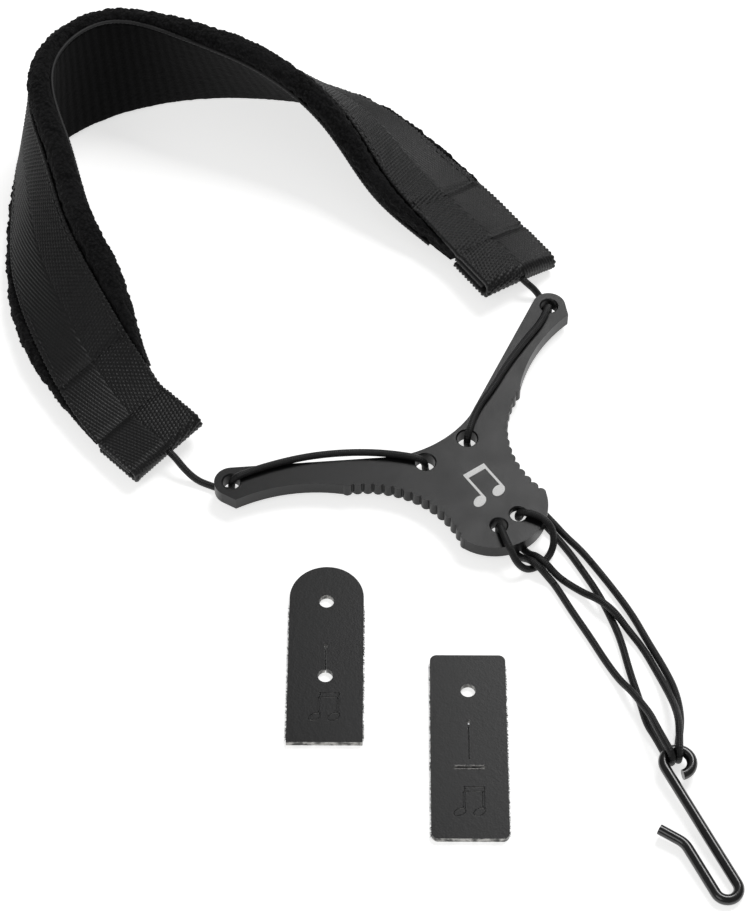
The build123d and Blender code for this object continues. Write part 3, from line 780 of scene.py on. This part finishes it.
fleece = dress(fleece_pad(), fleece_mat)
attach(fleece, "neck_band")
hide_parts("fleece_backing", "foam_core")


def lining_corners(width, height, from_end):
    end = round_end(from_end)
    inset = ((width - WEB_WIDTH) / 2 * 0.9 + 0.8) * (1 - end)
    width = width - 2 * inset
    return [(inset + v, h) for v, h in lining_outline(width)]


def lining_outline(width):
    return [(0.1, 0.05), (width * 0.3, 0.0), (width * 0.7, 0.0), (width - 0.1, 0.05),
            (width + 0.1, 0.6), (width - 0.3, LINING_T + 0.5), (width * 0.6, LINING_T + 0.3),
            (width * 0.4, LINING_T + 0.3), (0.3, LINING_T + 0.5), (-0.1, 0.6)]


def pad_lining():
    grid, along = section_grid(PAD_START + 0.2, BAND_LENGTH - PAD_START - 0.2, 0.7, lining_corners, 120)
    normals = grid_normals(grid)
    centre = grid.mean(axis=1, keepdims=True)
    if np.sum((grid - centre) * normals) < 0:
        normals = -normals
    grid = knobbly(grid, normals, 1.0, 0.22, 9.0)
    grid[:, :, 2] = np.maximum(grid[:, :, 2], 0.05)
    cols = grid.shape[1]
    return loop_mesh("lining", place(grid), np.linspace(0, 0.075, cols + 1), along * MM)


lining = dress(pad_lining(), lining_mat)
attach(lining, "neck_band")
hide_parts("pad_lining")


def piping_line():
    along = np.arange(PAD_START + 8, BAND_LENGTH - PAD_START - 8, 0.5)
    low, across, outward, width, travel = band_frames(along)
    return place(low + across * (width + 0.35)[:, None] + outward * 0.55), along


def edge_piping():
    """A thin twisted piping, in two plies."""
    line, along = piping_line()
    grid = tube_grid(line, 0.52 * MM, 12)
    centre = line[:, None, :]
    turn = np.linspace(0, 2 * math.pi, 12, endpoint=False)
    swell = 1 + 0.16 * np.cos(2 * (turn[None, :] - along[:, None] * 2.6))
    grid = centre + (grid - centre) * swell[:, :, None]
    return loop_mesh("piping", grid, np.linspace(0, 1, 13), along * MM)


piping_mat = new_material("black_piping", (0.010, 0.010, 0.0105), 0.6)[0]
piping = dress(edge_piping(), piping_mat)
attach(piping, "neck_band")
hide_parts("edge_piping")


def stitches(name, spots, directions, length, thickness):
    """Short rounded stitches at given places, in mm."""
    verts, faces = [], []
    sides, rings = 8, 7
    for spot, direction in zip(spots, directions):
        t = np.linspace(-1, 1, rings)
        line = spot + direction * (t * length / 2)[:, None]
        radius = thickness / 2 * np.sqrt(np.maximum(1 - (t * 0.92) ** 2, 0.05))
        grid = tube_grid(line, radius, sides)
        base = len(verts)
        verts += [tuple(p) for p in place(grid).reshape(-1, 3)]
        faces += closed_tube_faces(base, rings, sides)
    return new_object(name, verts, faces)


def seam_rows():
    """Long stitch rows near both edges of the webbing."""
    along = np.arange(PAD_START + 2, BAND_LENGTH - PAD_START - 2, 2.3)
    low, across, outward, width, travel = band_frames(along)
    height = pad_height(along) + WEB_T + 0.12
    spots, directions = [], []
    for offset in (-10.9, 10.9):
        spots.append(low + across * (width / 2 + offset)[:, None] + outward * height[:, None])
        directions.append(travel)
    return stitches("seam_stitches", np.concatenate(spots), np.concatenate(directions), 1.7, 0.34)


def end_rows():
    """Stitch rows straight across the webbing near both ends."""
    spots, directions = [], []
    for from_end in (16.0, 37.0):
        for along in (from_end, BAND_LENGTH - from_end):
            clamped = min(max(along, FOLD_LENGTH), BAND_LENGTH - FOLD_LENGTH)
            low, across, outward, width, travel = band_frames(np.array([clamped]))
            base = low[0] + across[0] * width[0] / 2 + travel[0] * (along - clamped)
            height = (FOLD_HEIGHT if from_end < 20 else pad_height(along) + WEB_T) - 0.42
            arch = 1.5 if along > BAND_LENGTH / 2 else 0.25
            arch *= 1 - ease_between(from_end, 8.0, 30.0)
            for u in np.arange(-10.4, 10.5, 2.1):
                lift = height + arch * (1 - (u / 12.5) ** 2)
                spots.append(base + across[0] * u + outward[0] * lift)
                directions.append(across[0])
    return stitches("end_stitches", np.array(spots), np.array(directions), 1.6, 0.36)


thread_mat = new_material("black_thread", (0.009, 0.009, 0.0095), 0.5)[0]
seams = dress(seam_rows(), thread_mat)
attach(seams, "neck_band")
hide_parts("seam_stitching")
end_stitches = dress(end_rows(), thread_mat)
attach(end_stitches, "neck_band")
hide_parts("end_stitching")



def fold_hems():
    """The turned-in ply of webbing inside each folded end, stitched down between the outer ones."""
    verts, faces = [], []
    for along, way in ((FOLD_LENGTH, -1), (BAND_LENGTH - FOLD_LENGTH, 1)):
        low, across, outward, width, travel = band_frames(np.array([along]))
        middle = low[0] + across[0] * width[0] / 2
        towards = travel[0] * way
        thick, centre = 2.5, FOLD_HEIGHT / 2
        ends = np.linspace(0.6, FOLD_LENGTH - 3.4, 60)
        section = round_section([(-12.2, -thick / 2), (0, -thick / 2), (12.2, -thick / 2),
                                 (12.45, 0), (12.2, thick / 2), (0, thick / 2),
                                 (-12.2, thick / 2), (-12.45, 0)], 44)
        base = len(verts)
        for k, reach in enumerate(ends):
            ripple = 1 + 0.012 * math.sin(k * 1.9)
            ring = (middle + towards * reach + across[0] * section[:, :1] * ripple
                    + outward[0] * (section[:, 1:] + centre))
            verts += [tuple(p) for p in place(ring)]
        faces += closed_tube_faces(base, len(ends), len(section))
    return new_object("fold_hems", verts, faces)


hems = dress(fold_hems(), webbing_mat)
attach(hems, "neck_band")


# ---------------------------------------------------------------- tab details
TAB_T = 1.7
TAB_HALF = 10.0
TAB_CROSS = (TAB_LONG[1], -TAB_LONG[0])
tab_centres = {"round": (-63.6, -33.4), "square": (-49.2, -78.2)}


def on_tab(kind, across, along, z):
    """A point on a tab, given across and along it in mm, from the yoke's centre."""
    x, y = tab_centres[kind]
    return np.array([x + TAB_CROSS[0] * across + TAB_LONG[0] * along,
                     y + TAB_CROSS[1] * across + TAB_LONG[1] * along, z])


def join_tubes(name, lines, radius, sides=6):
    """Many thin closed tubes in one mesh; lines in mm."""
    verts, faces = [], []
    for line in lines:
        grid = tube_grid(np.asarray(line, float), radius, sides)
        base = len(verts)
        verts += [tuple(p) for p in place(grid).reshape(-1, 3)]
        faces += closed_tube_faces(base, len(grid), sides)
    return new_object(name, verts, faces)


def side_fibres(kind, rng):
    """Loose leather fibres along a tab's two long cut edges."""
    lines = []
    top = 15.0 if kind == "round" else 25.0
    for side in (-1, 1):
        for _ in range(300):
            along, z = rng.uniform(-26.5, top), rng.uniform(0.25, TAB_T - 0.15)
            reach, drift = rng.uniform(0.1, 0.42), rng.uniform(-0.45, 0.45)
            start = on_tab(kind, side * (TAB_HALF - 0.1), along, z)
            middle = on_tab(kind, side * (TAB_HALF + reach * 0.6), along + drift * 0.4, z + 0.04)
            end = on_tab(kind, side * (TAB_HALF + reach), along + drift, max(z - 0.1, 0.12))
            lines.append([start, middle, end])
    return lines


def torn_fibres(rng):
    """Pale frayed fibres along the torn cross slit of the square tab."""
    lines = []
    for side in (-1, 1):
        for _ in range(70):
            across = rng.uniform(-3.7, 3.7)
            edge = -6.7 + side * 0.24
            start = on_tab("square", across, edge, TAB_T - 0.12)
            middle = on_tab("square", across + rng.uniform(-0.3, 0.3), edge + side * 0.15, TAB_T + 0.06)
            end = on_tab("square", across + rng.uniform(-0.5, 0.5), edge + side * rng.uniform(0.2, 0.5),
                         TAB_T + 0.05)
            lines.append([start, middle, end])
    return lines


def blind_mark(kind):
    """A plain pair of beamed notes pressed into a tab, seen as low rounded outlines."""
    level = TAB_T - 0.10
    turn = np.linspace(0, 2 * math.pi, 25)
    lines = []
    for head in (-2.6, 2.4):
        outline = [on_tab(kind, head + 1.5 * math.cos(t), -19.8 + 1.05 * math.sin(t) + 0.4 * math.cos(t),
                          level) for t in turn]
        lines.append(outline)
        lines.append([on_tab(kind, head + 1.4, y, level) for y in np.linspace(-19.4, -12.6, 8)])
        lines.append([on_tab(kind, head + 0.9, y, level) for y in np.linspace(-18.8, -13.9, 8)])
    for y in (-12.5, -13.8):
        lines.append([on_tab(kind, x, y, level) for x in np.linspace(-1.6, 3.8, 8)])
    return lines


rng = np.random.default_rng(7)
fibre_mat = new_material("pale_fibre", (0.42, 0.41, 0.40), 0.9)[0]
dark_fibre_mat = new_material("dark_fibre", (0.02, 0.02, 0.02), 0.9)[0]
for kind in tab_centres:
    body = f"tab_{kind}"
    fuzz = dress(join_tubes(f"{kind}_tab_fibres", side_fibres(kind, rng), 0.05, 4),
                 dark_fibre_mat)
    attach(fuzz, body)
    mark = dress(join_tubes(f"{kind}_tab_mark", blind_mark(kind), 0.17, 8), leather_mat)
    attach(mark, body)
    slit = {"round": [(0, -5.2, 0, 2.3)], "square": [(0, -4.0, 0, 6.4), (-3.5, -6.7, 3.5, -6.7)]}[kind]
    lips = [[on_tab(kind, a + (c - a) * t, b + (d - b) * t, 1.1) for t in np.linspace(0, 1, 12)]
            for a, b, c, d in slit]
    lip = dress(join_tubes(f"{kind}_tab_slit_lips", lips, 0.15, 8), leather_mat)
    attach(lip, body)
torn = dress(join_tubes("torn_slit_fibres", torn_fibres(rng), 0.045, 4), fibre_mat)
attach(torn, "tab_square")

# ---------------------------------------------------------------- carried-over CAD pieces
def soften(obj, width, segments=3, angle=40.0):
    """Round the sharp edges of a CAD piece a little."""
    bevel = obj.modifiers.new("soften", "BEVEL")
    bevel.width = width
    bevel.segments = segments
    bevel.limit_method = "ANGLE"
    bevel.angle_limit = math.radians(angle)
    bevel.use_clamp_overlap = True
    bevel.harden_normals = False


def repaint(node_name, material, bevel=None):
    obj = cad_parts[node_name]
    for target in obj.material_slots:
        target.material = material
    if not obj.material_slots:
        obj.data.materials.append(material)
    if bevel:
        soften(obj, bevel)
    return obj


repaint("cord_knots", cord_mat)
repaint("yoke_plate", plate_mat, bevel=0.0003)
repaint("yoke_emblem", emblem_mat)
repaint("instrument_hook", hook_mat)
repaint("leather_tab_round", leather_mat)
repaint("leather_tab_square", leather_mat)

# ---------------------------------------------------------------- floor and light
floor = new_object("floor", [(-3, -3, 0), (3, -3, 0), (3, 3, 0), (-3, 3, 0)], [(0, 1, 2, 3)], smooth=False)
floor_mat = new_material(
    "pale_floor", (0.86, 0.86, 0.86), 0.6, Specular_IOR_Level=0.2,
    Emission_Color=(1.0, 1.0, 0.995, 1.0), Emission_Strength=0.66)[0]
floor.data.materials.append(floor_mat)

world = bpy.data.worlds.new("studio")
scene.world = world
world.use_nodes = True
world.node_tree.nodes["Background"].inputs["Color"].default_value = (1.0, 1.0, 1.0, 1.0)
world.node_tree.nodes["Background"].inputs["Strength"].default_value = 0.22


def area_light(name, location, target, size, power):
    data = bpy.data.lights.new(name, "AREA")
    data.shape = "RECTANGLE"
    data.size, data.size_y = size
    data.energy = power
    light = bpy.data.objects.new(name, data)
    scene.collection.objects.link(light)
    light.location = location
    way = Vector(target) - Vector(location)
    light.rotation_euler = way.to_track_quat("-Z", "Y").to_euler()


area_light("key", (0.75, 0.35, 1.1), (0, 0, 0), (0.7, 0.5), 9.0)
area_light("fill", (-0.9, -0.3, 0.9), (0, 0, 0), (0.6, 0.6), 2.0)
